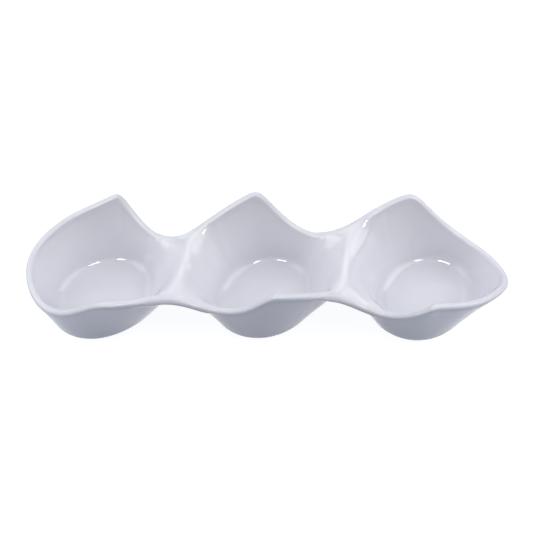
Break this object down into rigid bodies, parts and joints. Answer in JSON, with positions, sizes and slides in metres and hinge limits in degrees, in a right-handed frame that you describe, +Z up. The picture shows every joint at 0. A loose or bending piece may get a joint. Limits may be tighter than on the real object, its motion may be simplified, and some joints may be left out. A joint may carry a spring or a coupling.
{
  "type": "divided serving bowl",
  "caption": "Long white glazed dish with round wells in a row, a waved pinwheel rim, low bridges with slanting ridges between the wells, and standing rings below.",
  "frame": {"origin": "centre of the middle well on the surface that the standing rings rest on", "axes": "+X along the row of wells, +Z up, +Y to the back"},
  "size_m": [0.3316, 0.1018, 0.0662],
  "materials": {
    "glaze": "glossy white glaze",
    "foot": "bare fired body, ground matt"
  },
  "bodies": {
    "root": {"left_bowl": "glaze", "middle_bowl": "glaze", "right_bowl": "glaze", "left_bridge": "glaze", "right_bridge": "glaze", "left_foot_ring": "foot", "middle_foot_ring": "foot", "right_foot_ring": "foot"}
  },
  "joints": []
}
